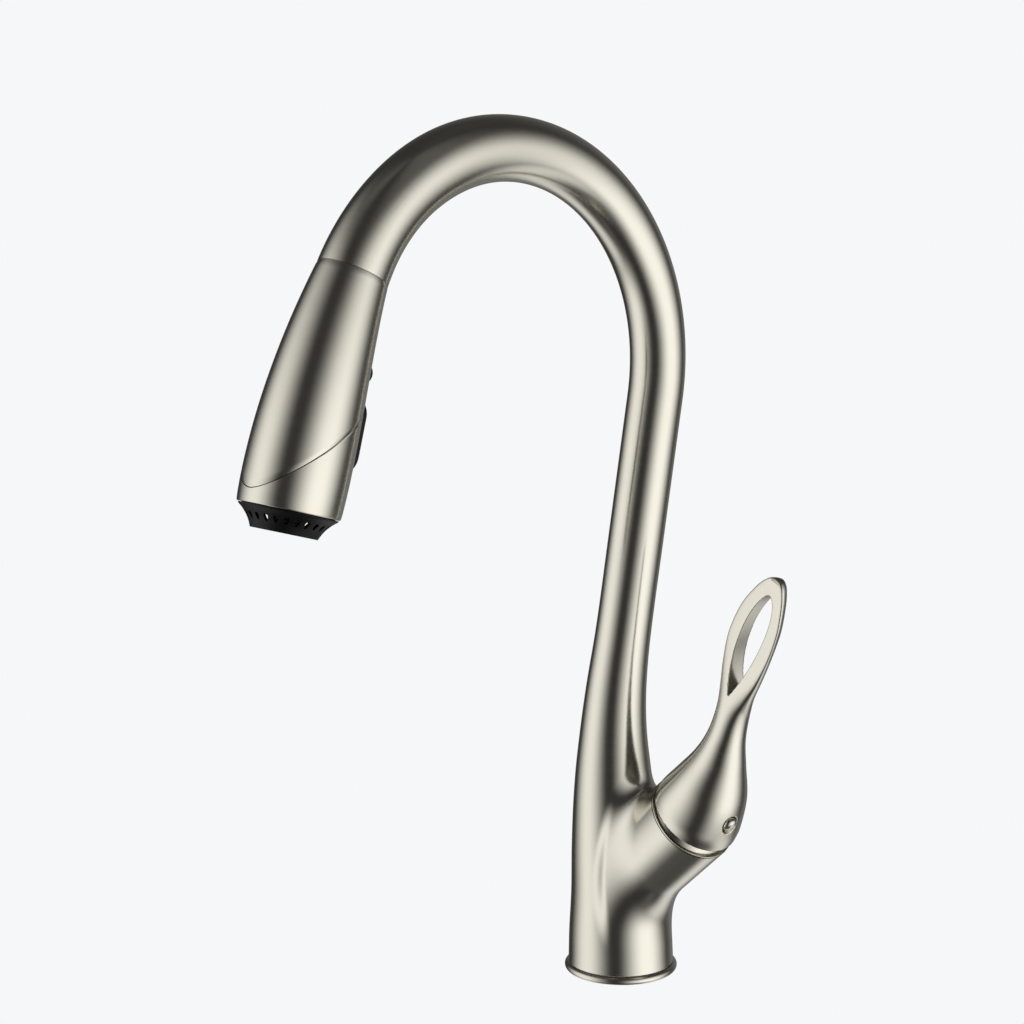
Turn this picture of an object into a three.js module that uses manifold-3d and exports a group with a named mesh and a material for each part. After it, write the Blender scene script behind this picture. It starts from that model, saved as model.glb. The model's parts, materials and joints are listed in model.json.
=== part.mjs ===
// Pull-down kitchen faucet, millimetres, +Z up.
// Origin: centre of the base underside, on the deck. The spout reaches toward -Y (the sink and the user)
// and the side lever is on +X. Every mesh is one separate physical piece.
import * as THREE from "three";
import { mergeVertices } from "three/addons/utils/BufferGeometryUtils.js";
import Module from "manifold-3d";

const wasm = await Module();
wasm.setup();

// ---------------------------------------------------------------- driving dimensions
const GAP = 0.3; // clearance between neighbouring pieces

const BASE_RADIUS = 27; // flange that covers a 35 mm tap hole
const FLANGE_HEIGHT = 3.7;
const BODY_START = 4.2; // lower edge of the turning body above the deck
const SPIGOT_RADIUS = 21; // fixed spigot that the body turns on
const SPIGOT_TOP = 17;
const SUPPLY_CIRCLE = 13.5; // where the supply tubes pass the base plate
const HOSE_OFFSET = 11; // where the spray hose passes it, on the side away from the lever
const LINE_FOOT = 3.8; // tubes and hose start just above the plate, because they turn with the body

const LEAN = 10.5; // degrees that the neck leans back
const NECK_FOOT = { y: -0.6, z: 154.5 };
const WAIST = { y: -5.2, z: 108 }; // where the column leans furthest forward
const ARCH = { y: -74.8, z: 293.3, radius: 98.7 }; // rising half of the arch
const FALL_RADIUS = 92.8; // falling half of the arch, tangent to the first at the top
const DOCK_TILT = 27; // degrees from vertical where the spray head docks
const MOUTH = { y: -193.3, z: 245.45, tilt: 16.2 }; // centre of the spray head's rim
const WALL = 2.3;

const BRANCH_ANGLE = 43.5; // degrees above horizontal
const BRANCH_FOOT = 40.4; // height where the branch axis leaves the column axis
const BRANCH_LENGTH = 64.1; // from the column axis to the seam under the lever
const BRANCH_RADIUS = 21.8;
const BRANCH_ROOT_RADIUS = 20.2;
const SOCKET_RADIUS = 18.2;
const SOCKET_DEPTH = 42;

const PIVOT_DEPTH = 12; // lever pivot below the branch seam
const BONNET_RADIUS = 23.5; // spherical bonnet centred on the lever pivot
const HOSE_RADIUS = 5.5;
const SHANK_RADIUS = 9;
const SHELL = 1.8; // wall of the spray head

// ---------------------------------------------------------------- materials
const nickel = { color: 0xbdb6a8, metalness: 1, roughness: 0.3 };
const brass = { color: 0xb8934e, metalness: 1, roughness: 0.35 };
const steel = { color: 0x9a9c9e, metalness: 1, roughness: 0.35 };
const copper = { color: 0xb5714a, metalness: 1, roughness: 0.35 };
const blackPlastic = { color: 0x141414, metalness: 0, roughness: 0.5 };
const greyPlastic = { color: 0x8c8f92, metalness: 0, roughness: 0.5 };
const whitePlastic = { color: 0xe6e6e2, metalness: 0, roughness: 0.45 };
const rubber = { color: 0x1b1b1b, metalness: 0, roughness: 0.8 };
const ceramic = { color: 0xf1eee6, metalness: 0, roughness: 0.2 };

// ---------------------------------------------------------------- small tools
const rad = THREE.MathUtils.degToRad;
const XAXIS = new THREE.Vector3(1, 0, 0);
const YAXIS = new THREE.Vector3(0, 1, 0);

function merged(geometry) {
  const bare = geometry.clone();
  bare.deleteAttribute("normal");
  bare.deleteAttribute("uv");
  return mergeVertices(bare, 1e-4);
}

function signedVolume(geometry) {
  const position = geometry.getAttribute("position");
  const index = geometry.getIndex();
  const a = new THREE.Vector3();
  const b = new THREE.Vector3();
  const c = new THREE.Vector3();
  let volume = 0;
  for (let i = 0; i < index.count; i += 3) {
    a.fromBufferAttribute(position, index.getX(i));
    b.fromBufferAttribute(position, index.getX(i + 1));
    c.fromBufferAttribute(position, index.getX(i + 2));
    volume += a.dot(b.cross(c)) / 6;
  }
  return volume;
}

// Faces out, whichever way round the profile was drawn; triangles that a pole collapses are dropped.
function faced(geometry) {
  const out = merged(geometry);
  const index = out.getIndex();
  const flip = signedVolume(out) < 0;
  const kept = [];
  for (let i = 0; i < index.count; i += 3) {
    const t = [index.getX(i), index.getX(i + 1), index.getX(i + 2)];
    if (t[0] === t[1] || t[1] === t[2] || t[0] === t[2]) continue;
    kept.push(...(flip ? [t[0], t[2], t[1]] : t));
  }
  out.setIndex(kept);
  return out;
}

function solid(geometry) {
  const out = faced(geometry);
  const vertProperties = new Float32Array(out.getAttribute("position").array);
  const triVerts = new Uint32Array(out.getIndex().array);
  return new wasm.Manifold(new wasm.Mesh({ numProp: 3, vertProperties, triVerts }));
}

function shape(manifold) {
  const mesh = manifold.getMesh();
  const geometry = new THREE.BufferGeometry();
  geometry.setAttribute("position", new THREE.BufferAttribute(new Float32Array(mesh.vertProperties), 3));
  geometry.setIndex(new THREE.BufferAttribute(new Uint32Array(mesh.triVerts), 1));
  return geometry;
}

function piece(name, geometry, finish, parent) {
  const mesh = new THREE.Mesh(geometry, new THREE.MeshStandardMaterial(finish));
  mesh.name = name;
  parent.add(mesh);
  return mesh;
}

// Turned solid about Z from [radius, height] pairs; the profile ends on the axis or closes on itself.
function turned(profile, sides = 24) {
  const points = profile.map(([radius, height]) => new THREE.Vector2(radius, height));
  return faced(new THREE.LatheGeometry(points, sides).rotateX(Math.PI / 2));
}

function ring(inner, outer, low, high, sides = 24) {
  return turned([[inner, low], [outer, low], [outer, high], [inner, high], [inner, low]], sides);
}

function rod(radius, low, high, sides = 12) {
  return turned([[0, low], [radius, low], [radius, high], [0, high]], sides);
}

function torus(radius, section, height, sides = 24) {
  return faced(new THREE.TorusGeometry(radius, section, 8, sides).translate(0, 0, height));
}

// Round tube along a smooth curve through the given points.
function tube(points, radius, steps, sides = 8) {
  const path = new THREE.CatmullRomCurve3(points.map((p) => new THREE.Vector3(...p)), false, "centripetal");
  const section = new THREE.Shape().absarc(0, 0, radius, 0, 2 * Math.PI);
  return faced(new THREE.ExtrudeGeometry(section, { steps, extrudePath: path, curveSegments: sides }));
}

// Smooth interpolation through [place, value] stations.
function through(stations) {
  const last = stations.length - 1;
  const slope = stations.map((_, i) => {
    const a = stations[Math.max(i - 1, 0)];
    const b = stations[Math.min(i + 1, last)];
    return (b[1] - a[1]) / (b[0] - a[0]);
  });
  return (place) => {
    let i = 0;
    while (i < last - 1 && place > stations[i + 1][0]) i += 1;
    const span = stations[i + 1][0] - stations[i][0];
    const t = THREE.MathUtils.clamp((place - stations[i][0]) / span, 0, 1);
    const hermite = [
      2 * t ** 3 - 3 * t ** 2 + 1,
      (t ** 3 - 2 * t ** 2 + t) * span,
      3 * t ** 2 - 2 * t ** 3,
      (t ** 3 - t ** 2) * span,
    ];
    const values = [stations[i][1], slope[i], stations[i + 1][1], slope[i + 1]];
    return hermite.reduce((sum, weight, k) => sum + weight * values[k], 0);
  };
}

// ---------------------------------------------------------------- the spine, drawn in the YZ plane
const lean = rad(LEAN);
const ARCH_TOP = ARCH.z + ARCH.radius;
const FALL_CENTRE = ARCH_TOP - FALL_RADIUS;
const dockAngle = rad(DOCK_TILT);
const DOCK = {
  y: ARCH.y - FALL_RADIUS * Math.cos(dockAngle),
  z: FALL_CENTRE + FALL_RADIUS * Math.sin(dockAngle),
};
const mouthAngle = rad(MOUTH.tilt);

function drawSpine() {
  const path = new THREE.Path().moveTo(0, 0);
  path.bezierCurveTo(0, WAIST.z * 0.42, WAIST.y, WAIST.z * 0.65, WAIST.y, WAIST.z);
  const entry = 18;
  path.bezierCurveTo(WAIST.y, WAIST.z + 16, NECK_FOOT.y - entry * Math.sin(lean),
    NECK_FOOT.z - entry * Math.cos(lean), NECK_FOOT.y, NECK_FOOT.z);
  path.absarc(ARCH.y, ARCH.z, ARCH.radius, -lean, Math.PI / 2, false);
  path.absarc(ARCH.y, FALL_CENTRE, FALL_RADIUS, Math.PI / 2, Math.PI - dockAngle, false);
  return path;
}

function drawWand() {
  const reach = 33;
  return new THREE.CubicBezierCurve(
    new THREE.Vector2(DOCK.y, DOCK.z),
    new THREE.Vector2(DOCK.y - reach * Math.sin(dockAngle), DOCK.z - reach * Math.cos(dockAngle)),
    new THREE.Vector2(MOUTH.y + reach * Math.sin(mouthAngle), MOUTH.z + reach * Math.cos(mouthAngle)),
    new THREE.Vector2(MOUTH.y, MOUTH.z),
  );
}

const spine = drawSpine();
const wandSpine = drawWand();
const SPINE_LENGTH = spine.getLength();
const WAND_LENGTH = wandSpine.getLength();

// Frame at a distance along a curve: point, tangent and the outer normal, all in the YZ plane.
function frameAt(curve, length, distance) {
  const u = THREE.MathUtils.clamp(distance / length, 0, 1);
  const p = curve.getPointAt(u);
  const t = curve.getTangentAt(u);
  const over = distance - u * length;
  return {
    point: new THREE.Vector3(0, p.x + over * t.x, p.y + over * t.y),
    tangent: new THREE.Vector3(0, t.x, t.y),
    normal: new THREE.Vector3(0, t.y, -t.x),
  };
}

// Carries a solid drawn along Z onto a curve: its height becomes distance along the curve.
function bent(geometry, curve, length) {
  const out = merged(geometry);
  const position = out.getAttribute("position");
  for (let i = 0; i < position.count; i += 1) {
    const frame = frameAt(curve, length, position.getZ(i));
    const p = frame.point.addScaledVector(XAXIS, position.getX(i));
    p.addScaledVector(frame.normal, position.getY(i));
    position.setXYZ(i, p.x, p.y, p.z);
  }
  return faced(out);
}

const onSpine = (geometry) => bent(geometry, spine, SPINE_LENGTH);
const onWand = (geometry) => bent(geometry, wandSpine, WAND_LENGTH);

// Outer radius of the body by distance along the spine.
const bodyRadius = through([
  [BODY_START, 25.2], [20, 24.6], [40, 22.9], [60, 21.6], [80, 19.9], [100, 17.9], [120, 15.7],
  [140, 14.2], [165, 13.1], [210, 13], [300, 13.1], [370, 13.6], [430, 14.4], [480, 14.9],
  [515, 14.9], [535, 15.2], [SPINE_LENGTH, 15.7],
]);

// Outer radius of the spray head by distance from the dock.
const wandRadius = through([
  [0, 15.7], [8, 16.6], [16, 17.5], [25, 18.5], [40, 20], [57, 21.4], [72, 22.2], [88, 22.5],
  [WAND_LENGTH - 3, 22.2], [WAND_LENGTH, 21.9],
]);

function stations(from, to, count) {
  return Array.from({ length: count + 1 }, (_, i) => from + ((to - from) * i) / count);
}

// ---------------------------------------------------------------- groups
const faucet = new THREE.Group();
const branch = new THREE.Group();
const branchAngle = rad(BRANCH_ANGLE);
const SEAM = new THREE.Vector3(
  BRANCH_LENGTH * Math.cos(branchAngle), 0, BRANCH_FOOT + BRANCH_LENGTH * Math.sin(branchAngle),
);
branch.position.copy(SEAM);
branch.rotation.y = Math.PI / 2 - branchAngle;
faucet.add(branch);

function inBranch(geometry) {
  return geometry.clone().rotateY(Math.PI / 2 - branchAngle).translate(SEAM.x, SEAM.y, SEAM.z);
}

// Straight pieces at the dock: local Z runs out of the dock toward the mouth.
const dock = new THREE.Group();
dock.position.set(0, DOCK.y, DOCK.z);
dock.rotation.x = Math.PI - dockAngle;
faucet.add(dock);

// Straight pieces at the mouth: local Z runs back up into the spray head.
const mouth = new THREE.Group();
mouth.position.set(0, MOUTH.y, MOUTH.z);
mouth.rotation.x = -mouthAngle;
faucet.add(mouth);

// ---------------------------------------------------------------- base, fixed to the deck
const HOT = 60; // directions of the supply tubes round the base plate
const COLD = -60;
const OUTLET = 0;
const STUDS = [120, 240];

function onCircle(angle, radius = SUPPLY_CIRCLE) {
  return [radius * Math.cos(rad(angle)), radius * Math.sin(rad(angle))];
}

function makeBasePlate() {
  const holes = [
    ...[HOT, COLD, OUTLET].map((angle) => ({ radius: 4.8, place: onCircle(angle) })),
    ...STUDS.map((angle) => ({ radius: 3.1, place: onCircle(angle, 16) })),
    { radius: 6.9, place: [-HOSE_OFFSET, 0] },
  ];
  const drilled = holes.map(({ radius, place }) => solid(rod(radius, -1, 5, 12).translate(...place, 0)));
  return shape(drilled.reduce((plate, hole) => plate.subtract(hole), solid(rod(22.2, 0, 3.2, 32))));
}

function makeFlange() {
  const bead = FLANGE_HEIGHT / 2;
  const round = stations(-90, 90, 6).map((a) => [
    BASE_RADIUS - bead + bead * Math.cos(rad(a)), bead + bead * Math.sin(rad(a)),
  ]);
  return turned([[24.9, 0], ...round, [24.9, FLANGE_HEIGHT], [24.9, 0]], 32);
}

function makeSpigot() {
  const tube = [
    [18, 3.5], [SPIGOT_RADIUS, 3.5], [SPIGOT_RADIUS, 13.5], [19.8, 13.5], [19.8, 15],
    [SPIGOT_RADIUS, 15], [SPIGOT_RADIUS, SPIGOT_TOP], [18, SPIGOT_TOP], [18, 3.5],
  ];
  return turned(tube, 28);
}

function addBase() {
  piece("base_plate", makeBasePlate(), steel, faucet);
  piece("base_gasket", ring(22.5, 24.6, 0, 2), rubber, faucet);
  piece("base_flange", makeFlange(), nickel, faucet);
  piece("swivel_spigot", makeSpigot(), brass, faucet);
  piece("swivel_washer", ring(21.4, 24.6, 3.3, 3.9), whitePlastic, faucet);
  piece("spigot_snap_ring", ring(20.1, 21.7, 13.8, 14.7), steel, faucet);
  piece("hose_guide_bush", ring(5.8, 6.6, 0.4, 3.2, 16), whitePlastic, faucet).position.x = -HOSE_OFFSET;
}

// ---------------------------------------------------------------- turning body
function bodySolid(inset, from, to, sides) {
  const places = [...stations(from, 165, 8), ...stations(200, 275, 1), ...stations(300, to, 12)];
  const profile = places.map((s) => [bodyRadius(s) - inset, s]);
  return onSpine(turned([[0, from], ...profile, [0, to]], sides));
}

function makeBody() {
  const root = 6;
  const taper = [[0, root], [BRANCH_ROOT_RADIUS, root], [BRANCH_RADIUS, BRANCH_LENGTH], [0, BRANCH_LENGTH]];
  const arm = turned(taper, 28).translate(0, 0, -BRANCH_LENGTH);
  const outer = solid(bodySolid(0, BODY_START, SPINE_LENGTH, 24)).add(solid(inBranch(arm)));
  const cavity = solid(bodySolid(WALL, BODY_START - 2, SPINE_LENGTH + 2, 16));
  const socket = solid(inBranch(rod(SOCKET_RADIUS, -SOCKET_DEPTH - 10, 2, 24)));
  const clearance = solid(rod(SPIGOT_RADIUS + 0.9, 2, SPIGOT_TOP + 1, 24));
  return shape(outer.subtract(cavity).subtract(socket).subtract(clearance));
}

// The hose rises beside the supply tubes, then follows the middle of the neck and arch to its nut.
function hosePath() {
  const foot = [[-HOSE_OFFSET, 0, LINE_FOOT], [-HOSE_OFFSET, 0, 20]];
  const low = [...foot, [-10, 0, 50], [-7, -2, 80], [-2, -5, 108]];
  const centreAt = (s) => frameAt(spine, SPINE_LENGTH, s).point.toArray();
  const high = stations(130, SPINE_LENGTH - 42, 12).map(centreAt);
  const end = frameAt(spine, SPINE_LENGTH, SPINE_LENGTH);
  const tail = [-33, -24.3].map((d) => end.point.clone().addScaledVector(end.tangent, d).toArray());
  return [...low, ...high, ...tail];
}

function addBody() {
  piece("faucet_body", makeBody(), nickel, faucet);
  piece("spray_hose", tube(hosePath(), HOSE_RADIUS, 30, 8), steel, faucet);
  piece("dock_collar", ring(9.6, 11.3, -12, -0.6, 24), blackPlastic, dock);
}

// Supply tubes from the base up to the valve body in the branch.
const PORT_CIRCLE = 8;
const TUBE_RADIUS = 3.8;
const ports = [
  { name: "hot_supply_tube", angle: HOT, port: 70 },
  { name: "cold_supply_tube", angle: COLD, port: -70 },
  { name: "mixed_outlet_tube", angle: OUTLET, port: 180 },
];

function portPlace(port, depth) {
  const place = new THREE.Vector3(...onCircle(port, PORT_CIRCLE), -depth);
  return place.applyAxisAngle(YAXIS, Math.PI / 2 - branchAngle).add(SEAM).toArray();
}

function addTubes() {
  for (const { name, angle, port } of ports) {
    const [x, y] = onCircle(angle);
    const ends = [portPlace(port, SOCKET_DEPTH + 9), portPlace(port, SOCKET_DEPTH + 0.4)];
    const route = [[x, y, LINE_FOOT], [x, y, 14], ...ends];
    piece(name, tube(route, TUBE_RADIUS, 10, 8), copper, faucet);
  }
}

// ---------------------------------------------------------------- valve and cartridge, in the branch
function withPorts(geometry, radius, circle = PORT_CIRCLE) {
  let out = solid(geometry);
  for (const { port } of ports) {
    const [x, y] = onCircle(port, circle);
    out = out.subtract(solid(rod(radius, -60, 20, 10).translate(x, y, 0)));
  }
  return shape(out);
}

const HOUSING_TOP = -6.3;
const DISC_FLOOR = -27.2;

function makeHousing() {
  return turned([
    [14, DISC_FLOOR], [16.3, DISC_FLOOR], [16.3, HOUSING_TOP], [7.8, HOUSING_TOP], [7.8, HOUSING_TOP - 2],
    [14, HOUSING_TOP - 2], [14, DISC_FLOOR],
  ], 24);
}

function makeBonnet() {
  const opening = 9.5;
  const arc = (radius) => {
    const low = Math.asin((PIVOT_DEPTH + 0.4) / radius);
    const high = Math.acos(opening / radius);
    return stations(low, high, 4).map((a) => [radius * Math.cos(a), radius * Math.sin(a) - PIVOT_DEPTH]);
  };
  const outer = arc(BONNET_RADIUS);
  const inner = arc(BONNET_RADIUS - 1.3).reverse();
  return turned([...outer, ...inner, outer[0]], 28);
}

function addCartridge() {
  piece("valve_body", withPorts(rod(17.9, -SOCKET_DEPTH, -28.6, 24), 3.2), brass, branch);
  piece("cartridge_gasket", withPorts(rod(15, -28.3, -27.5, 20), 3.2), rubber, branch);
  piece("fixed_ceramic_disc", withPorts(rod(13.6, DISC_FLOOR, -24.2, 20), 2.6), ceramic, branch);
  piece("moving_ceramic_disc", rod(11.4, -23.9, -20.8, 20), ceramic, branch);
  piece("cartridge_housing", makeHousing(), whitePlastic, branch);
  piece("cartridge_nut", ring(10.2, 17.8, HOUSING_TOP + GAP, -1, 20), brass, branch);
  piece("branch_trim_ring", ring(20.4, 21.7, 0.3, 1, 32), nickel, branch);
  piece("bonnet", makeBonnet(), nickel, branch);
  piece("stem_carrier", makeCarrier(), whitePlastic, branch);
  piece("cartridge_stem", makeStem(), steel, branch);
  const pin = rod(1.5, -12.5, 12.5, 10).rotateX(Math.PI / 2).translate(0, 0, -PIVOT_DEPTH);
  piece("stem_pivot_pin", pin, steel, branch);
}

const STEM_HALF = 3.8;
const STEM_TOP = 20;
const STEM_FOOT = 19.6;

function crossHole(radius) {
  return solid(rod(radius, -20, 20, 10).rotateX(Math.PI / 2).translate(0, 0, -PIVOT_DEPTH));
}

function makeCarrier() {
  const slot = new THREE.BoxGeometry(19, 2 * STEM_HALF + 1, 30).translate(0, 0, -PIVOT_DEPTH);
  return shape(solid(rod(13.6, -20.5, HOUSING_TOP - 2.4, 24)).subtract(solid(slot)).subtract(crossHole(1.8)));
}

function makeStem() {
  const bar = new THREE.BoxGeometry(2 * STEM_HALF, 2 * STEM_HALF, STEM_TOP + STEM_FOOT)
    .translate(0, 0, (STEM_TOP - STEM_FOOT) / 2);
  return shape(solid(bar).subtract(crossHole(1.8)));
}

// ---------------------------------------------------------------- lever
// Sections along the lever, in the XZ plane: centre, heading in degrees above horizontal, half width,
// depth toward -Y and +Y, and how square the front half is.
const leverSections = [
  { x: 49.2, z: 87.1, turn: 49.5, half: 21.5, front: 21.5, back: 21.5, flat: 2 },
  { x: 52.6, z: 92.2, turn: 53, half: 20.8, front: 20.8, back: 20.8, flat: 2 },
  { x: 59.2, z: 103.4, turn: 60, half: 17.4, front: 17.4, back: 17.4, flat: 2 },
  { x: 64.3, z: 116, turn: 68, half: 12.4, front: 12.2, back: 12.2, flat: 2 },
  { x: 67.9, z: 127, turn: 72, half: 9.1, front: 9, back: 9, flat: 2 },
  { x: 71.4, z: 138, turn: 72.5, half: 8, front: 7.4, back: 7.6, flat: 2.1 },
  { x: 74.6, z: 148.5, turn: 71, half: 8.9, front: 5.6, back: 6.4, flat: 2.6 },
  { x: 78.8, z: 160, turn: 69, half: 11.3, front: 4.4, back: 5.4, flat: 4 },
  { x: 84, z: 172.8, turn: 67, half: 12.9, front: 4, back: 4.6, flat: 7 },
  { x: 90.2, z: 185.6, turn: 64, half: 12.1, front: 4, back: 4.2, flat: 7 },
  { x: 96, z: 196.3, turn: 61.5, half: 8.6, front: 4, back: 3.4, flat: 6 },
  { x: 99.6, z: 202.6, turn: 60, half: 5, front: 4, back: 2.6, flat: 5 },
  { x: 101.1, z: 205.2, turn: 60, half: 2, front: 3.6, back: 1.6, flat: 4 },
];

// A unit cylinder whose rings are moved onto the sections, with smooth steps between them.
function makeLeverBlank(sides, steps) {
  const last = leverSections.length - 1;
  const track = (key) => through(leverSections.map((section, i) => [i, section[key]]));
  const at = Object.fromEntries(Object.keys(leverSections[0]).map((key) => [key, track(key)]));
  const blank = merged(new THREE.CylinderGeometry(1, 1, last, sides, steps).translate(0, last / 2, 0));
  const position = blank.getAttribute("position");
  for (let i = 0; i < position.count; i += 1) {
    const place = position.getY(i);
    const [c, s] = [position.getX(i), position.getZ(i)];
    const turn = rad(at.turn(place));
    const flat = at.flat(place);
    const boxy = Math.pow(1 - Math.pow(Math.min(Math.abs(c), 1), flat), 1 / flat);
    const squared = s < 0 ? boxy : s;
    const across = at.half(place) * c;
    const deep = Math.hypot(c, s) < 0.5 ? 0 : s < 0 ? -at.front(place) * squared : at.back(place) * squared;
    position.setXYZ(i, at.x(place) + across * Math.sin(turn), deep, at.z(place) - across * Math.cos(turn));
  }
  return faced(blank);
}

// Leaf-shaped opening through the lever's loop, drawn along the loop's own axis.
const LOOP_ANGLE = 66;
const LOOP_LOW = 165;
const LOOP_HIGH = 218.7;

function makeLoopOpening() {
  const outline = new THREE.Shape().moveTo(LOOP_LOW, 7.2);
  outline.bezierCurveTo(178, -1.5, 205, -2.5, LOOP_HIGH - 0.6, 6.3);
  outline.bezierCurveTo(LOOP_HIGH + 0.6, 7, LOOP_HIGH + 0.6, 8.6, LOOP_HIGH - 0.4, 9.4);
  outline.bezierCurveTo(212, 16, 186, 13.5, LOOP_LOW, 7.2);
  const cut = new THREE.ExtrudeGeometry(outline, { depth: 24, bevelEnabled: false, curveSegments: 8 });
  // Drawn X runs up the loop, drawn Y across it toward +X, and the cut runs along Y.
  const up = new THREE.Vector3(Math.cos(rad(LOOP_ANGLE)), 0, Math.sin(rad(LOOP_ANGLE)));
  const across = new THREE.Vector3(Math.sin(rad(LOOP_ANGLE)), 0, -Math.cos(rad(LOOP_ANGLE)));
  const deep = new THREE.Vector3().crossVectors(up, across);
  return cut.translate(0, 0, -12).applyMatrix4(new THREE.Matrix4().makeBasis(up, across, deep));
}

// The set screw clamps the stem; its axis points outward and a little toward -Y, above the branch seam.
const SCREW = { height: 19.5, swing: 4 };

function screwAxis(geometry) {
  return geometry.rotateY(Math.PI / 2).rotateZ(-rad(SCREW.swing)).translate(0, 0, SCREW.height);
}

function makeLever() {
  const bore = BONNET_RADIUS + 0.7;
  const dome = new THREE.SphereGeometry(bore, 24, 14).rotateX(Math.PI / 2).translate(0, 0, -PIVOT_DEPTH);
  const square = new THREE.BoxGeometry(2 * STEM_HALF + 0.6, 2 * STEM_HALF + 0.6, STEM_TOP + 0.5)
    .translate(0, 0, (STEM_TOP + 0.5) / 2);
  const recess = screwAxis(turned([[0, 3], [2.3, 3], [2.3, 12.5], [4.1, 12.5], [4.1, 30], [0, 30]], 16));
  return shape(solid(makeLeverBlank(24, 28))
    .subtract(solid(makeLoopOpening()))
    .subtract(solid(inBranch(dome)))
    .subtract(solid(inBranch(square)))
    .subtract(solid(inBranch(recess))));
}

function addLever() {
  piece("handle_lever", makeLever(), nickel, faucet);
  piece("handle_set_screw", screwAxis(rod(2, STEM_HALF + 0.9, 12.3, 8)), steel, branch);
  const cap = [[0, 12.8], [3.6, 12.8], [3.6, 15.6], [2.4, 16.4], [0, 16.8]];
  piece("set_screw_cap", screwAxis(turned(cap, 16)), nickel, branch);
}

// ---------------------------------------------------------------- spray head
const SEAM_LOW = 5.9; // seam between the shells, lowest at the front
const SEAM_RISE = 45; // how much higher it is at the back
const SEAM_POWER = 1.75; // how flat the seam runs at the front before it climbs

function seamHeight(angle) {
  return SEAM_LOW + SEAM_RISE * Math.pow(Math.abs(Math.sin(angle / 2)), SEAM_POWER);
}

// Everything below the shell seam: its top follows the sweep round the head.
function makeSeamCutter(lift) {
  const cutter = merged(new THREE.CylinderGeometry(30, 30, 1, 32, 1).rotateX(Math.PI / 2));
  const position = cutter.getAttribute("position");
  for (let i = 0; i < position.count; i += 1) {
    const [x, y] = [position.getX(i), position.getY(i)];
    const edge = seamHeight(Math.atan2(x, y));
    const height = Math.hypot(x, y) < 1 ? SEAM_LOW + SEAM_RISE * 0.6 : edge;
    const below = WAND_LENGTH + 3;
    position.setZ(i, position.getZ(i) > 0 ? below : WAND_LENGTH - height - lift);
  }
  return solid(onWand(cutter));
}

function makeWandTube() {
  const places = stations(GAP, WAND_LENGTH, 10);
  const outer = places.map((s) => [wandRadius(s), s]);
  const inner = places.map((s) => [wandRadius(s) - SHELL, s]).reverse();
  return solid(onWand(turned([...outer, ...inner, outer[0]], 24)));
}

// Controls sit on the side that faces the neck, at these heights above the rim.
const BUTTON = { height: 65, radius: 4.8 };
const ROCKER = { low: 20, high: 54, half: 8, proud: 1.5 };

function controlFrame(height) {
  const frame = frameAt(wandSpine, WAND_LENGTH, WAND_LENGTH - height);
  const out = frame.normal.clone().negate();
  const origin = frame.point.clone().addScaledVector(out, wandRadius(WAND_LENGTH - height));
  const up = frame.tangent.clone().negate();
  const side = new THREE.Vector3().crossVectors(up, out);
  return new THREE.Matrix4().makeBasis(side, up, out).setPosition(origin);
}

function padOutline(half, low, high) {
  const reach = (high - low) / 2 - half;
  const outline = new THREE.Shape().moveTo(half, -reach);
  outline.lineTo(half, reach);
  outline.absarc(0, reach, half, 0, Math.PI, false);
  outline.lineTo(-half, -reach);
  outline.absarc(0, -reach, half, Math.PI, 2 * Math.PI, false);
  return outline;
}

const rockerFrame = controlFrame((ROCKER.low + ROCKER.high) / 2);
const buttonFrame = controlFrame(BUTTON.height);

function pad(half, low, high, bottom, top) {
  const depth = top - bottom;
  const geometry = new THREE.ExtrudeGeometry(padOutline(half, low, high), {
    depth, bevelEnabled: false, curveSegments: 6,
  });
  return faced(geometry.translate(0, 0, bottom).applyMatrix4(rockerFrame));
}

function addShells() {
  const openings = solid(pad(ROCKER.half + 0.5, ROCKER.low - 0.5, ROCKER.high + 0.5, -12, 6))
    .add(solid(rod(BUTTON.radius + GAP, -12, 6, 16).applyMatrix4(buttonFrame)));
  const head = makeWandTube();
  const upper = head.subtract(makeSeamCutter(GAP)).subtract(openings);
  const lower = head.intersect(makeSeamCutter(0)).subtract(openings);
  piece("wand_upper_shell", shape(upper), nickel, faucet);
  piece("wand_lower_shell", shape(lower), nickel, faucet);
}

function addControls() {
  const bottom = -6;
  const body = solid(pad(ROCKER.half, ROCKER.low, ROCKER.high, bottom + 2, ROCKER.proud));
  const dome = new THREE.SphereGeometry(1, 14, 8).scale(4.6, 6.5, 3).translate(0, 9, ROCKER.proud - 1.6);
  const bump = solid(dome.applyMatrix4(rockerFrame));
  piece("mode_rocker", shape(body.add(bump)), blackPlastic, faucet);
  const pin = rod(1, -5.6, 5.6, 8).rotateY(Math.PI / 2).translate(0, 0, bottom + 0.6);
  piece("rocker_pivot_pin", faced(pin.applyMatrix4(rockerFrame)), steel, faucet);
  const rim = BUTTON.radius;
  const cap = [[0, -4], [rim, -4], [rim, 2], [rim - 0.8, 2.7], [0, 3]];
  piece("spray_button", faced(turned(cap, 16).applyMatrix4(buttonFrame)), blackPlastic, faucet);
  piece("button_spring", faced(ring(1.6, 2.8, -8.4, -5.8, 12).applyMatrix4(buttonFrame)), steel, faucet);
}

const VENTS = 24;

// Black sleeve inside the spray head's rim. Below the rim it narrows in a hollow curve to the spray face.
function makeSkirt() {
  const lip = [[14.6, 10.6], [14.6, 12], [19.7, 12]];
  const flare = [[19.7, -0.3], [21.3, -0.3], [21, -0.9]];
  const outside = [...flare, [19.1, -2.4], [16.6, -5.2], [15.2, -7.6], [14.3, -9.7]];
  const inside = [[13.3, -9.7], [14, -7.4], [15.2, -4.6], [17.6, -1.6], [18.4, 0], [18.4, 10.6]];
  return turned([...lip, ...outside, ...inside, lip[0]].reverse(), 2 * VENTS);
}

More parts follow.
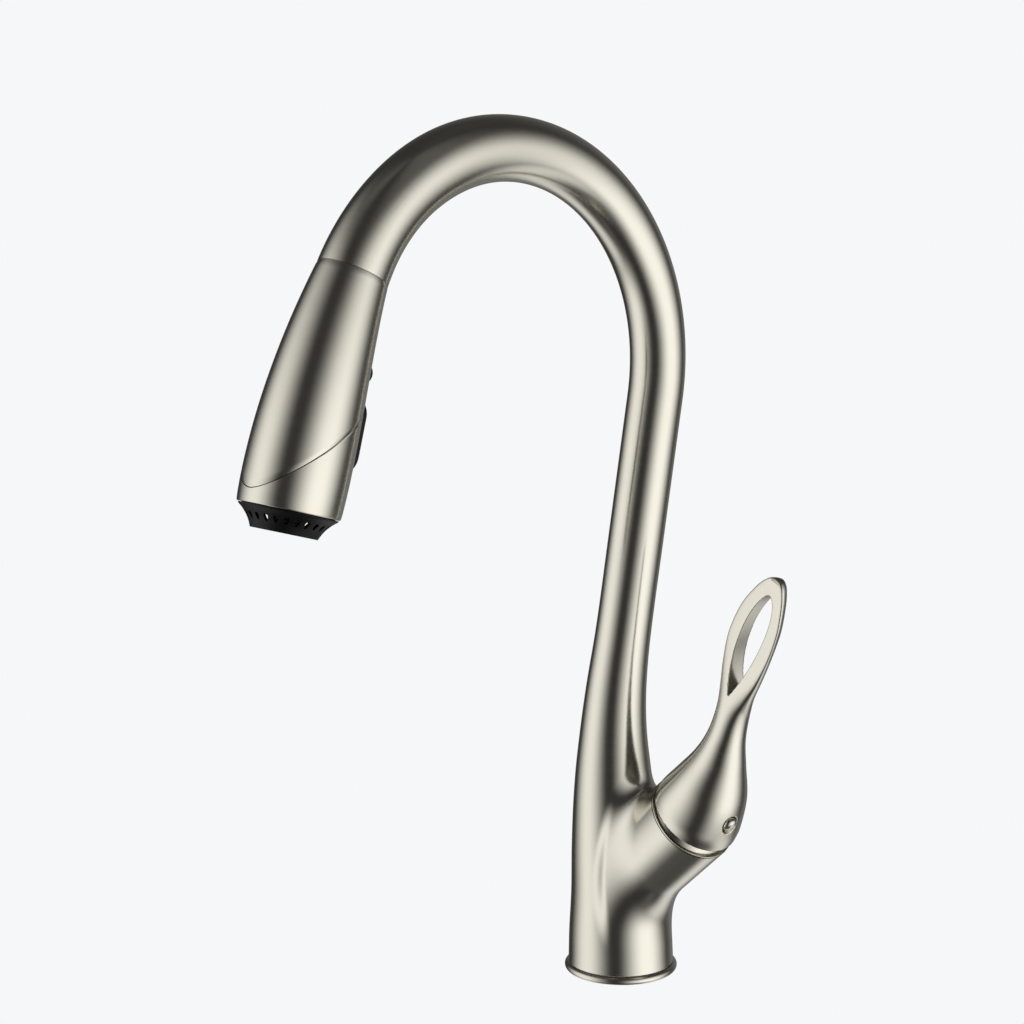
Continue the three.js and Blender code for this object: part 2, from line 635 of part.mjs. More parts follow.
function makeNozzleSkirt() {
  const slope = rad(42);
  const vent = new THREE.CylinderGeometry(1.05, 1.05, 6, 6).rotateZ(Math.PI / 2).scale(1, 1, 1.6);
  vent.rotateY(slope).translate(16.5, 0, -4.2);
  const hole = (i) => solid(vent.clone().rotateZ((2 * Math.PI * (i + 0.5)) / VENTS));
  const holes = Array.from({ length: VENTS }, (_, i) => hole(i));
  return shape(holes.reduce((skirt, cut) => skirt.subtract(cut), solid(makeSkirt())));
}

const NOZZLES = 14;

function nozzlePlaces() {
  return Array.from({ length: NOZZLES }, (_, i) => onCircle((360 * i) / NOZZLES, 10.1));
}

function makeSprayPlate() {
  const holes = nozzlePlaces().map(([x, y]) => solid(rod(0.9, -12, -5, 6).translate(x, y, 0)));
  return shape(holes.reduce((plate, hole) => plate.subtract(hole), solid(ring(7.3, 12.8, -8.9, -7.3, 28))));
}

function makeNozzles() {
  const nubs = nozzlePlaces().map(([x, y]) => (
    turned([[0, -9.5], [0.45, -9.5], [0.6, -6.8], [0, -6.8]], 6).translate(x, y, 0)
  ));
  return nubs.reduce((sum, nub) => sum.add(solid(nub)), solid(ring(7.5, 12.6, -7.1, -6.2, 24)));
}

function addSprayEnd() {
  piece("nozzle_skirt", makeNozzleSkirt(), blackPlastic, mouth);
  piece("spray_plate", makeSprayPlate(), greyPlastic, mouth);
  piece("spray_nozzles", shape(makeNozzles()), rubber, mouth);
  const screen = [[0, -8.9], [6.9, -8.9], [6.9, -6.2], [0, -6.2]];
  piece("aerator", turned(screen, 20), greyPlastic, mouth);
  const spout = [[5, 16], [5, -6], [12.8, -6], [12.8, -5.2], [7, -5.2], [7, 14]];
  const cup = [...spout, [17.6, 15], [17.6, 17.5], [13, 24], [13, 26], [3.4, 26], [3.4, 18.5], spout[0]];
  piece("flow_housing", turned(cup, 24), greyPlastic, mouth);
  piece("spray_face_seal", torus(16.2, 0.9, 13.8, 20), rubber, mouth);
  piece("diverter_spool", rod(3, 19.4, 34, 10), whitePlastic, mouth);
}

function addConnection() {
  const nut = [[3, -24], [6.5, -24], [7.6, -21], [7.6, -9], [3, -9], [3, -24]];
  piece("hose_nut", turned(nut, 12), brass, dock);
  const shank = [
    [4, -8.7], [8.1, -8.7], [8.1, -5.3], [SHANK_RADIUS, -5.3], [SHANK_RADIUS, 5], [11.5, 8], [11.5, 24],
    [4, 24], [4, -8.7],
  ];
  piece("wand_shank", turned(shank, 20), greyPlastic, dock);
  piece("shank_seal", ring(8.4, 9.3, -8.2, -5.7, 20), rubber, dock);
  piece("check_valve", rod(3.6, 10, 22, 12), whitePlastic, dock);
}

addBase();
addBody();
addTubes();
addCartridge();
addLever();
addShells();
addControls();
addSprayEnd();
addConnection();

export default faucet;
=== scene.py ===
import json
import math

import bmesh
import bpy
import numpy as np
from mathutils import Matrix, Vector


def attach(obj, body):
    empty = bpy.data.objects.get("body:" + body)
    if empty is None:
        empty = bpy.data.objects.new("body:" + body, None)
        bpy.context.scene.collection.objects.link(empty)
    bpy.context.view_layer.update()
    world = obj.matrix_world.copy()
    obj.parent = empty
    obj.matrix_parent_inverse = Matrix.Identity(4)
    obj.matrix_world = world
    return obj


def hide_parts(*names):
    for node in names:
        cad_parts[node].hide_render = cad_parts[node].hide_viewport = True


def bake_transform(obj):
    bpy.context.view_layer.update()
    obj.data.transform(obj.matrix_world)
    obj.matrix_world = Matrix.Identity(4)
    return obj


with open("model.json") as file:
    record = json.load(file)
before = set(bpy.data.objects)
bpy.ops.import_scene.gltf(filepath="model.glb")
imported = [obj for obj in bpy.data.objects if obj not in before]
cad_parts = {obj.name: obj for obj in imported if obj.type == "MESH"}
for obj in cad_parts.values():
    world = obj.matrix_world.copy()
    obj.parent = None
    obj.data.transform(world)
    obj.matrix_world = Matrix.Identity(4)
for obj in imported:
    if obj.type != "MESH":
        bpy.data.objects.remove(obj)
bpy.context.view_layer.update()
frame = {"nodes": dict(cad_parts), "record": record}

# ------------------------------------------------------------ driving dimensions, millimetres and degrees
MM = 0.001
BASE_RADIUS = 27
FLANGE_HEIGHT = 3.7
BODY_START = 4.2
ARCH = (-74.8, 293.3, 98.7)  # rising half: centre y, z and radius
FALL = (-74.8, 299.2, 92.8)  # falling half
NECK_LEAN = 10.5
DOCK_ANGLE = 153
DOCK_TILT = 27
MOUTH = np.array([-193.3, 245.45])
MOUTH_TILT = 16.2
WALL = 2.3
BRANCH_FOOT = 40.4
BRANCH_ANGLE = 43.5
BRANCH_LENGTH = 64.1
PIVOT_DEPTH = 12
BRANCH_RADIUS = 20.2  # where it leaves the column
BRANCH_FLARE = 1.6  # how much wider it is at the lever
FLARE_START = 6  # along the branch
BRANCH_FADE = 14  # depth inside the column over which the branch fades out
BLEND = 14  # width of the smooth junction between column and branch
SHELL = 1.8
HOSE_RADIUS = 5.5
EXTRA = 14  # the body skin is built this much too long at each end, then cut


def sin(degrees):
    return math.sin(math.radians(degrees))


def cos(degrees):
    return math.cos(math.radians(degrees))


X = np.array([1.0, 0, 0])
Y = np.array([0, 1.0, 0])
Z = np.array([0, 0, 1.0])
ORIGIN = np.zeros(3)


# ------------------------------------------------------------ curves
def hermite(x, knots):
    """Smooth curve through (position, values...) knots, with central-difference slopes."""
    k = np.array(knots, float)
    xs, ys = k[:, 0], k[:, 1:]
    slope = np.empty_like(ys)
    slope[1:-1] = (ys[2:] - ys[:-2]) / (xs[2:] - xs[:-2])[:, None]
    slope[0] = (ys[1] - ys[0]) / (xs[1] - xs[0])
    slope[-1] = (ys[-1] - ys[-2]) / (xs[-1] - xs[-2])
    x = np.clip(np.asarray(x, float), xs[0], xs[-1])
    i = np.clip(np.searchsorted(xs, x, side="right") - 1, 0, len(xs) - 2)
    w = (xs[i + 1] - xs[i])[..., None]
    t = (x - xs[i])[..., None] / w
    return (
        ys[i] * (2 * t**3 - 3 * t**2 + 1)
        + slope[i] * w * (t**3 - 2 * t**2 + t)
        + ys[i + 1] * (3 * t**2 - 2 * t**3)
        + slope[i + 1] * w * (t**3 - t**2)
    )


def bezier(a, b, c, d, n=200):
    t = np.linspace(0, 1, n)[:, None]
    a, b, c, d = (np.array(p, float) for p in (a, b, c, d))
    return a * (1 - t) ** 3 + 3 * b * t * (1 - t) ** 2 + 3 * c * t * t * (1 - t) + d * t**3


def arc(circle, a0, a1, n=400):
    y, z, r = circle
    a = np.radians(np.linspace(a0, a1, n))
    return np.stack([y + r * np.cos(a), z + r * np.sin(a)], 1)


class Path2D:
    """Polyline in the YZ plane, read by arc length. Its normal points outward: toward +Y at the foot."""

    def __init__(self, points, step=0.4, start=0.0):
        d = np.linalg.norm(np.diff(points, axis=0), axis=1)
        points = points[np.r_[True, d > 1e-6]]
        s = np.r_[0, np.cumsum(np.linalg.norm(np.diff(points, axis=0), axis=1))]
        n = int(s[-1] / step)
        self.s = np.linspace(0, s[-1], n)
        self.p = np.stack([np.interp(self.s, s, points[:, i]) for i in (0, 1)], 1)
        self.t = np.gradient(self.p, self.s, axis=0)
        self.t /= np.linalg.norm(self.t, axis=1)[:, None]
        self.s = self.s + start
        self.end = self.s[-1]

    def at(self, s):
        p = np.stack([np.interp(s, self.s, self.p[:, i]) for i in (0, 1)], -1)
        t = np.stack([np.interp(s, self.s, self.t[:, i]) for i in (0, 1)], -1)
        t = t / np.linalg.norm(t, axis=-1)[..., None]
        return p, t, np.stack([t[..., 1], -t[..., 0]], -1)

    def nearest(self, yz):
        """Arc length of the nearest point to each (y, z)."""
        out = np.empty(len(yz))
        rough = self.p[::4]
        for i in range(0, len(yz), 20000):
            q = yz[i : i + 20000]
            d = (q[:, None, 0] - rough[None, :, 0]) ** 2 + (q[:, None, 1] - rough[None, :, 1]) ** 2
            out[i : i + 20000] = self.s[::4][d.argmin(1)]
        for _ in range(2):
            p, t, _n = self.at(out)
            out = np.clip(out + ((yz - p) * t).sum(1), self.s[0], self.end)
        return out


neck_foot = np.array([-0.6, 154.5])
waist = np.array([-5.2, 108.0])
arch_foot = arc(ARCH, -NECK_LEAN, 90, 2)[0]
DOCK = arc(FALL, 90, DOCK_ANGLE, 2)[-1]
dock_dir = np.array([-sin(DOCK_TILT), -cos(DOCK_TILT)])
dock_point = np.r_[0, DOCK]
dock_axis = np.r_[0, dock_dir]
dock_side = np.array([0, -cos(DOCK_TILT), sin(DOCK_TILT)])
mouth_dir = np.array([-sin(MOUTH_TILT), -cos(MOUTH_TILT)])
spine = Path2D(
    np.vstack(
        [
            [[0, -EXTRA]],
            bezier((0, 0), (0, 45.4), (-5.2, 70.2), waist),
            bezier(waist, (-5.2, 124), (-3.9, 136.8), neck_foot),
            [arch_foot],
            arc(ARCH, -NECK_LEAN, 90),
            arc(FALL, 90, DOCK_ANGLE),
            [DOCK + EXTRA * dock_dir],
        ]
    ),
    start=-EXTRA,
)
DOCK_S = spine.end - EXTRA
body_radius = [
    (4.2, 25.2), (20, 24.6), (40, 22.9), (60, 21.6), (80, 19.9), (100, 17.9), (120, 15.7), (140, 14.2),
    (165, 13.1), (210, 13.0), (300, 13.1), (370, 13.6), (430, 14.4), (480, 14.9), (515, 14.9), (535, 15.2),
    (DOCK_S, 15.7),
]
wand = Path2D(bezier(DOCK, DOCK + 33 * dock_dir, MOUTH - 33 * mouth_dir, MOUTH))
L = wand.end
wand_radius = [
    (0, 15.7), (8, 16.6), (16, 17.5), (25, 18.5), (40, 20), (57, 21.4), (72, 22.2), (88, 22.5),
    (L - 3, 22.2), (L, 21.9),
]
# h runs along the branch, e2 across it
h = np.array([cos(BRANCH_ANGLE), 0, sin(BRANCH_ANGLE)])
e2 = np.array([sin(BRANCH_ANGLE), 0, -cos(BRANCH_ANGLE)])
branch_foot = np.array([0, 0, BRANCH_FOOT])
seam = branch_foot + BRANCH_LENGTH * h


def radius_of(s):
    return hermite(s, body_radius)[..., 0]


def wand_r(t):
    return hermite(t, wand_radius)[..., 0]


def branch_r(q):
    return BRANCH_RADIUS + BRANCH_FLARE * np.clip((q - FLARE_START) / (BRANCH_LENGTH - FLARE_START), 0, 1.3)


# ------------------------------------------------------------ mesh helpers
def link(mesh, name):
    ob = bpy.data.objects.new(name, mesh)
    bpy.context.scene.collection.objects.link(ob)
    return ob


def mesh_object(name, verts, faces):
    me = bpy.data.meshes.new(name)
    me.from_pydata((np.asarray(verts, float) * MM).tolist(), [], faces)
    me.update()
    return link(me, name)


def grid_faces(rows, cols, wrap_rows=False, offset=0):
    """Quads of a grid whose columns run round a closed ring."""
    faces = []
    for i in range(rows if wrap_rows else rows - 1):
        a, b = i * cols, ((i + 1) % rows) * cols
        for j in range(cols):
            k = (j + 1) % cols
            faces.append((offset + a + j, offset + a + k, offset + b + k, offset + b + j))
    return faces


def capped_faces(rows, cols, offset=0):
    """The grid's quads, and a flat cap over its first and last ring."""
    first, last = offset, offset + (rows - 1) * cols
    caps = [tuple(range(first + cols - 1, first - 1, -1)), tuple(range(last, last + cols))]
    return grid_faces(rows, cols, offset=offset) + caps


def rings(name, grid, closed=False):
    """Surface through rings of points, either capped or closed on itself."""
    rows, cols, _ = grid.shape
    faces = grid_faces(rows, cols, True) if closed else capped_faces(rows, cols)
    ob = mesh_object(name, grid.reshape(-1, 3), faces)
    outward(ob)
    return ob


def outward(ob):
    """Points every face of a closed mesh outward."""
    bm = bmesh.new()
    bm.from_mesh(ob.data)
    bmesh.ops.recalc_face_normals(bm, faces=bm.faces)
    if bm.calc_volume(signed=True) < 0:
        bmesh.ops.reverse_faces(bm, faces=bm.faces)
    bm.to_mesh(ob.data)
    bm.free()


def settle(ob):
    """Turns the object's modifiers into plain mesh."""
    bpy.context.view_layer.update()
    graph = bpy.context.evaluated_depsgraph_get()
    me = bpy.data.meshes.new_from_object(ob.evaluated_get(graph))
    ob.modifiers.clear()
    old = ob.data
    ob.data = me
    bpy.data.meshes.remove(old)
    return ob


def cut(ob, *tools):
    for tool in tools:
        m = ob.modifiers.new("cut", "BOOLEAN")
        m.operation = "DIFFERENCE"
        m.solver = "EXACT"
        m.object = tool
        settle(ob)
        bpy.data.objects.remove(tool)
    return ob


def remesh(ob, voxel, smoothing):
    m = ob.modifiers.new("remesh", "REMESH")
    m.mode = "VOXEL"
    m.voxel_size = voxel * MM
    if smoothing:
        m = ob.modifiers.new("smooth", "SMOOTH")
        m.factor = 0.5
        m.iterations = smoothing
    return settle(ob)


def coords(ob):
    out = np.empty(len(ob.data.vertices) * 3)
    ob.data.vertices.foreach_get("co", out)
    return out.reshape(-1, 3) / MM


def set_coords(ob, points):
    ob.data.vertices.foreach_set("co", (points * MM).ravel())
    ob.data.update()


def brush(ob, across, along):
    """Stores each point's place across and along its piece, which the finishes' fine lines follow."""
    at = ob.data.attributes.get("brush") or ob.data.attributes.new("brush", "FLOAT_VECTOR", "POINT")
    values = np.column_stack([across, along])
    at.data.foreach_set("vector", values.astype(np.float32).ravel())


def smooth(ob, angle=None):
    ob.data.polygons.foreach_set("use_smooth", [True] * len(ob.data.polygons))
    if angle is not None:
        ob.data.set_sharp_from_angle(angle=math.radians(angle))
    ob.data.update()


def place(points, origin, x, y, z):
    """Local (x, y, z) points into the frame with these axes."""
    points = np.asarray(points, float)
    return origin + points[..., :1] * x + points[..., 1:2] * y + points[..., 2:3] * z


POLE = 0.02  # a profile that starts and ends nearer the axis than this is solid


def lathe(name, profile, origin, axis, side, steps=128):
    """Turns a closed (radius, height) profile around the axis."""
    axis = np.asarray(axis, float)
    side = np.asarray(side, float)
    third = np.cross(axis, side)
    a = np.linspace(0, 2 * math.pi, steps, endpoint=False)
    prof = np.array(profile, float)
    local = np.stack(
        [prof[:, :1] * np.cos(a), prof[:, :1] * np.sin(a), np.repeat(prof[:, 1:], steps, 1)], -1
    )
    hollow = max(prof[0, 0], prof[-1, 0]) > POLE
    ob = rings(name, place(local, np.asarray(origin, float), side, third, axis), closed=hollow)
    flat = local.reshape(-1, 3)
    brush(ob, flat[:, :2], flat[:, 2])
    smooth(ob, 38)
    return ob


def rounded(points, radius, n=5):
    """Closed outline with each corner rounded, or left alone where its radius is 0."""
    pts = [np.array(p, float) for p in points]
    out = []
    for i, p in enumerate(pts):
        r = radius[i] if isinstance(radius, (list, tuple)) else radius
        a, b = pts[i - 1], pts[(i + 1) % len(pts)]
        r = min(r, 0.45 * np.linalg.norm(a - p), 0.45 * np.linalg.norm(b - p))
        if r <= 0:
            out.append(p)
            continue
        u = p + r * (a - p) / np.linalg.norm(a - p)
        v = p + r * (b - p) / np.linalg.norm(b - p)
        for t in np.linspace(0, 1, n):
            out.append(u * (1 - t) ** 2 + 2 * p * t * (1 - t) + v * t * t)
    return np.array(out)


def prism(name, outline, low, high, origin, x, y, z):
    n = len(outline)
    bottom = np.column_stack([outline, np.full(n, low)])
    top = np.column_stack([outline, np.full(n, high)])
    ob = mesh_object(name, place(np.vstack([bottom, top]), origin, x, y, z), capped_faces(2, n))
    outward(ob)
    return ob


# ------------------------------------------------------------ body skin
BODY_VOXEL = 1.0
BODY_ROUNDS = 7  # of moving the remeshed points onto the true surface and evening them out
EVENING = 0.6
LEAST_SLOPE = 0.3  # keeps a step short where the slopes of column and branch cancel
FAR_SIDE_FADE = 3
LOW_PART = 0.05  # metres: the foot's cut leaves alone what is above this
BRANCH_PART = 0.028  # metres: the lever seam's cut leaves alone what is nearer the column
DOCK_PART = -0.12  # metres: the dock's cut leaves alone what is nearer the column


def column_distance(p):
    """Distance off the column, its direction, and the arc length of the nearest point of the spine."""
    s = spine.nearest(p[:, 1:])
    c, t, _ = spine.at(s)
    v = p - np.column_stack([np.zeros(len(p)), c])
    d = np.linalg.norm(v, axis=1)
    return d - radius_of(s), v / d[:, None], s


def branch_distance(p):
    """Distance off the branch, its direction, and how far along the branch the point is."""
    v = p - branch_foot
    q = v @ h
    v = v - q[:, None] * h
    d = np.linalg.norm(v, axis=1)
    inner = np.clip((BRANCH_FADE - p[:, 0]) / BRANCH_FADE, 0, 1)
    # the branch fades out inside the column, and is gone on its far side
    away = BRANCH_FADE * inner * inner * (3 - 2 * inner) + FAR_SIDE_FADE * np.clip(-p[:, 0], 0, None)
    return d - branch_r(q) + away, v / np.maximum(d, 1e-6)[:, None], q


def body_field(p):
    """Column and branch joined smoothly. The last value is the column's share."""
    d1, g1, s = column_distance(p)
    d2, g2, q = branch_distance(p)
    w = np.clip(0.5 + 0.5 * (d2 - d1) / BLEND, 0, 1)
    d = d2 * (1 - w) + d1 * w - BLEND * w * (1 - w)
    g = g1 * w[:, None] + g2 * (1 - w)[:, None]
    return d, g, s, q, w


def relax(ob, points, share):
    """Moves each point toward the middle of its neighbours."""
    edges = np.empty(len(ob.data.edges) * 2, np.int64)
    ob.data.edges.foreach_get("vertices", edges)
    edges = edges.reshape(-1, 2)
    total = np.zeros_like(points)
    count = np.zeros(len(points))
    for a, b in ((0, 1), (1, 0)):
        np.add.at(total, edges[:, a], points[edges[:, b]])
        np.add.at(count, edges[:, a], 1)
    return points * (1 - share) + share * total / count[:, None]


def make_body_skin():
    s = np.linspace(-EXTRA, spine.end, 330)
    c, _, n = spine.at(s)
    r = radius_of(s)
    a = np.linspace(0, 2 * math.pi, 72, endpoint=False)
    grid = np.stack(
        [
            r[:, None] * np.sin(a),
            c[:, :1] + r[:, None] * np.cos(a) * n[:, :1],
            c[:, 1:] + r[:, None] * np.cos(a) * n[:, 1:],
        ],
        -1,
    )
    column = rings("body_skin", grid)
    q = np.linspace(8, BRANCH_LENGTH + 12, 30)[:, None]
    across, side = branch_r(q) * np.cos(a), branch_r(q) * np.sin(a)
    local = np.stack([across, side, np.repeat(q, len(a), 1)], -1)
    arm = rings("branch_blank", place(local, branch_foot, e2, Y, h))
    both = bmesh.new()
    both.from_mesh(column.data)
    both.from_mesh(arm.data)
    both.to_mesh(column.data)
    both.free()
    bpy.data.objects.remove(arm)
    remesh(column, BODY_VOXEL, 0)
    p = coords(column)
    for turn in range(BODY_ROUNDS):
        for _ in range(2):
            d, g, _s, _q, _w = body_field(p)
            p = p - d[:, None] * g / np.maximum((g * g).sum(1), LEAST_SLOPE)[:, None]
        if turn < BODY_ROUNDS - 1:
            p = relax(column, p, EVENING)
    set_coords(column, p)

    bm = bmesh.new()
    bm.from_mesh(column.data)
    cuts = [
        ((0, 0, BODY_START), -Z, lambda v: v.co.z < LOW_PART),
        (seam, h, lambda v: v.co.x > BRANCH_PART),
        (dock_point, dock_axis, lambda v: v.co.y < DOCK_PART),
    ]
    for point, normal, near in cuts:
        verts = set(v for v in bm.verts if near(v))
        faces = [f for f in bm.faces if all(v in verts for v in f.verts)]
        edges = list(set(e for f in faces for e in f.edges))
        bmesh.ops.bisect_plane(
            bm,
            geom=list(set(v for f in faces for v in f.verts)) + edges + faces,
            dist=1e-7,
            plane_co=Vector(point) * MM,
            plane_no=Vector(normal),
            clear_outer=True,
        )
    loose = [v for v in bm.verts if not v.link_faces]
    bmesh.ops.delete(bm, geom=loose, context="VERTS")
    bm.to_mesh(column.data)
    bm.free()
    m = column.modifiers.new("wall", "SOLIDIFY")
    m.thickness = WALL * MM
    m.offset = -1
    m.use_rim = True
    settle(column)
    p = coords(column)
    _d, _g, s, q, w = body_field(p)
    c, _t, n = spine.at(s)
    across = np.column_stack([p[:, 0], ((p[:, 1:] - c) * n).sum(1)])
    v = p - branch_foot
    other = np.column_stack([v @ e2, v[:, 1]])
    k = w[:, None]
    brush(column, across * k + other * (1 - k), s * w + (q + 30) * (1 - w))
    smooth(column, 45)
    return column


body_skin = make_body_skin()

# ------------------------------------------------------------ base flange, trim ring, bonnet, dock collar
bead = FLANGE_HEIGHT / 2
FLANGE_BORE = 24.9
flange_profile = [(FLANGE_BORE, 0.02), (FLANGE_BORE, FLANGE_HEIGHT)] + [
    (BASE_RADIUS - bead + bead * sin(a), bead + (bead - 0.01) * cos(a)) for a in np.linspace(0, 180, 24)
]
flange = lathe("flange_skin", flange_profile, ORIGIN, Z, X, 192)


def band(inner, outer, low, high):
    return [(inner, low), (outer, low), (outer, high), (inner, high)]


ring = lathe("trim_ring_skin", rounded(band(20.4, 21.7, 0.3, 1), 0.15), seam, h, e2, 160)


def dome_profile(outer, inner, low, opening, centre):
    """Spherical shell from a flat foot at height low up to a round opening."""
    out = []
    for r, flip in ((outer, 1), (inner, -1)):
        a0 = math.asin(opening / r)
        a1 = math.acos((low - centre) / r)
        for a in np.linspace(a0, a1, 40)[::flip]:
            out.append((r * math.sin(a), centre + r * math.cos(a)))
    return out


bonnet_profile = dome_profile(outer=23.5, inner=22.2, low=0.4, opening=9.5, centre=-PIVOT_DEPTH)
bonnet = lathe("bonnet_skin", bonnet_profile, seam, h, e2, 128)
collar = lathe(
    "dock_collar_skin",
    rounded(band(9.6, 11.3, -12, -0.6), 0.4),
    dock_point, dock_axis, dock_side, 96,
)


# ------------------------------------------------------------ spray head
SEAM_LOW = 5.9  # above the rim, on the side away from the neck
SEAM_RISE = 45
SEAM_POWER = 1.75
SEAM_GAP = 0.3
DOCK_GAP = 0.12
EDGE_ROUND = 0.22
ROCKER_HEIGHT = 37  # of its middle above the rim, as BUTTON_HEIGHT is
ROCKER_HALF = 17
ROCKER_WIDE = 8  # half width
ROCKER_PROUD = 1.5
ROCKER_GAP = 0.5
BUTTON_HEIGHT = 65
BUTTON_RADIUS = 4.8
BUTTON_PROUD = 3
BUTTON_GAP = 0.3
CUT_DEPTH = 6  # each way from the shell's surface


def wand_point(t, phi, r):
    """Point of the spray head at a distance along it, an angle round it and a radius."""
    c, _, n = wand.at(t)
    r = np.asarray(r)
    out = r * np.cos(phi)
    return np.stack([r * np.sin(phi), c[..., 0] + out * n[..., 0], c[..., 1] + out * n[..., 1]], -1)


def seam_at(phi):
    return L - (SEAM_LOW + SEAM_RISE * np.abs(np.sin(phi / 2)) ** SEAM_POWER)


def shell_piece(name, start, end, lip):
    """One wall of the spray head, between two edges that are functions of the angle."""
    phi = np.linspace(0, 2 * math.pi, 160, endpoint=False)
    t0, t1 = start(phi), end(phi)
    steps = np.linspace(0, 1, 60)
    rows = []
    for side in (0, 1):
        for u in steps if side == 0 else steps[::-1]:
            t = t0 + (t1 - t0) * u
            edge = np.minimum(t - t0, t1 - t)
            round_off = lip * (1 - np.sqrt(np.clip(1 - (1 - np.clip(edge / lip, 0, 1)) ** 2, 0, 1)))
            r = wand_r(t) - (SHELL - round_off if side else round_off)
            rows.append(wand_point(t, phi, r))
    return rings(name, np.array(rows), closed=True)


def wand_brush(ob):
    p = coords(ob)
    t = wand.nearest(p[:, 1:])
    c, _, n = wand.at(t)
    brush(ob, np.column_stack([p[:, 0], ((p[:, 1:] - c) * n).sum(1)]), t + 600)


def stadium(half_width, half_length, n=24):
    """Outline with round ends, centred, long way along the second axis."""
    straight = half_length - half_width
    top = [(half_width * cos(a), straight + half_width * sin(a)) for a in np.linspace(0, 180, n)]
    return np.array(top + [(-x, -y) for x, y in top])


def on_wand(height, outline, h_out):
    """Points on the neck side of the spray head: outline across and along, h_out off the shell."""
    t = L - height - outline[..., 1]
    r = wand_r(t)
    phi = math.pi + outline[..., 0] / r
    return wand_point(t, phi, r + h_out)


def plug(name, height, outline, low, high):
    pts = np.vstack([on_wand(height, outline, low), on_wand(height, outline, high)])
    ob = mesh_object(name, pts, capped_faces(2, len(outline)))
    outward(ob)
    return ob


def button_hole():
    outline = stadium(BUTTON_RADIUS + BUTTON_GAP, BUTTON_RADIUS + BUTTON_GAP)
    return plug("button_hole", BUTTON_HEIGHT, outline, -CUT_DEPTH, CUT_DEPTH)


def rocker_hole():
    outline = stadium(ROCKER_WIDE + ROCKER_GAP, ROCKER_HALF + ROCKER_GAP)
    return plug("rocker_hole", ROCKER_HEIGHT, outline, -CUT_DEPTH, CUT_DEPTH)


upper = shell_piece(
    "wand_upper_skin",
    start=lambda phi: np.full_like(phi, DOCK_GAP),
    end=lambda phi: seam_at(phi) - SEAM_GAP / 2,
    lip=EDGE_ROUND,
)
lower = shell_piece(
    "wand_lower_skin",
    start=lambda phi: seam_at(phi) + SEAM_GAP / 2,
    end=lambda phi: np.full_like(phi, L),
    lip=EDGE_ROUND,
)
cut(upper, button_hole(), rocker_hole())
cut(lower, rocker_hole())
for ob in (upper, lower):
    wand_brush(ob)
    smooth(ob, 35)


TOP_BEND = 42  # sets how much flatter than the shell a pad's top is


def pillow(name, height, outline, top, foot, edge, extra=None):
    """A pad that follows the shell, with a rounded rim. top and foot are heights off the shell."""
    n = len(outline)
    rows = []
    rim = 1 - 0.2 * (1 - np.sin(np.linspace(0.05, 1, 14) * math.pi / 2))
    reach = np.abs(outline[:, 0]).max()
    short = np.linalg.norm(outline, axis=1).max() - reach
    for k in np.concatenate([np.linspace(0.04, 0.8, 22), rim]):
        centre = np.column_stack([np.zeros(n), np.clip(outline[:, 1], -short, short)])
        ring_pts = centre * k + (outline - centre) * k
        gap = reach * (1 - k)
        drop = 0 if gap > edge else edge - math.sqrt(max(edge**2 - (edge - gap) ** 2, 0))
        flat = ring_pts[:, 0] ** 2 / TOP_BEND
        lift = top - drop + flat + (extra(ring_pts) if extra else 0)
        rows.append(on_wand(height, ring_pts, lift))
    rows.append(on_wand(height, outline, foot))
    ob = rings(name, np.array(rows))
    smooth(ob, 40)
    wand_brush(ob)
    return ob


def rocker_bump(p):
    """The raised oval on the rocker's upper half: the top of a flattened ball sunk into the pad."""
    across, along, middle, height, sunk = 4.6, 6.5, 9, 3, 1.6
    d = 1 - (p[:, 0] / across) ** 2 - ((p[:, 1] - middle) / along) ** 2
    rise = height * np.sqrt(np.clip(d, 0, 1)) - sunk
    return np.clip(rise, 0, None)


rocker_outline = stadium(ROCKER_WIDE, ROCKER_HALF, 32)
rocker = pillow("rocker_skin", ROCKER_HEIGHT, rocker_outline, ROCKER_PROUD, -2.2, 0.8, rocker_bump)
button_outline = stadium(BUTTON_RADIUS, BUTTON_RADIUS, 32)
button = pillow("button_skin", BUTTON_HEIGHT, button_outline, BUTTON_PROUD, -2.0, 1.0)

mouth_point = np.r_[0, MOUTH]
mouth_up = -np.r_[0, mouth_dir]
mouth_side = np.array([0, -cos(MOUTH_TILT), sin(MOUTH_TILT)])
skirt_profile = [  # radius, height above the rim, corner rounding
    (14.6, 10.6, 0.2), (14.6, 12, 0.2), (19.7, 12, 0.2), (19.7, -0.3, 0.2),  # lip and sleeve
    (21.3, -0.3, 0.15), (21, -0.9, 0.5), (19.1, -2.4, 0.9), (16.6, -5.2, 1.4),  # outside, narrowing
    (15.2, -7.6, 1.2), (14.3, -9.7, 0.25), (13.3, -9.7, 0.2),
    (14, -7.4, 1), (15.2, -4.6, 1), (17.6, -1.6, 0.8), (18.4, 0, 0.5), (18.4, 10.6, 0.2),  # inside
]
skirt = lathe(
    "nozzle_skirt_skin",
    rounded([(r, z) for r, z, _ in skirt_profile], [corner for _, _, corner in skirt_profile], 4),
    mouth_point, mouth_up, mouth_side, 144,
)


def teardrop(long, wide):
    a = np.linspace(0, 2 * math.pi, 20, endpoint=False)
    return np.column_stack([wide * np.sin(a) * (0.72 + 0.28 * np.cos(a)), long * np.cos(a)])


